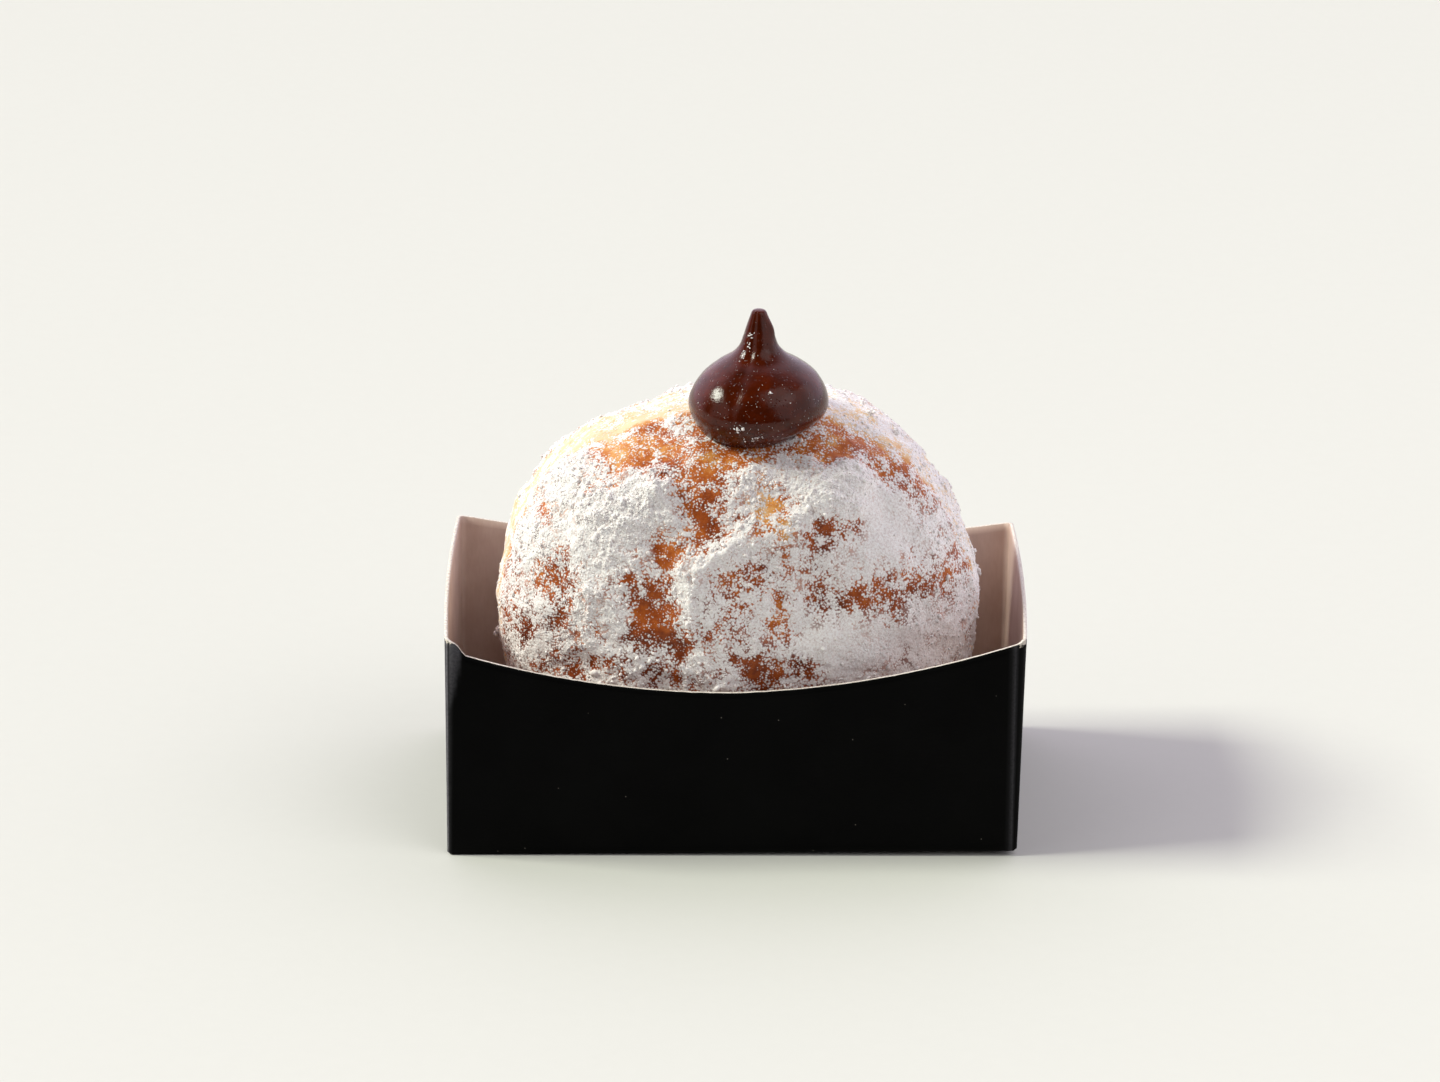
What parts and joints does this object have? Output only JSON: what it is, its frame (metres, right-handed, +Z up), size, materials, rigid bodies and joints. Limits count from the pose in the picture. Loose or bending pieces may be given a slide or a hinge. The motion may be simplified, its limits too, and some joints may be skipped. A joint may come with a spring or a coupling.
{
  "type": "filled doughnut in a card tray",
  "caption": "Round sugared filled doughnut standing on its edge in a small open folded card tray, with a piped pointed drop of chocolate cream on top.",
  "frame": {"origin": "on the table, under the middle of the tray", "axes": "+Z up, +X along the tray's length, -Y towards the front with the deeper arc"},
  "size_m": [0.1028, 0.064, 0.0933],
  "materials": {
    "card_tray": "satin black coating outside, bare light brown board inside, cream cut edges",
    "sugared_crust": "fried dough, browned on its faces and pale round its belt, under patchy icing sugar",
    "icing_sugar": "matte white powder in grains and clumps",
    "chocolate": "glossy dark chocolate cream"
  },
  "bodies": {
    "root": {"card_tray": "card_tray", "doughnut": "sugared_crust", "chocolate_drop": "chocolate"}
  },
  "joints": []
}
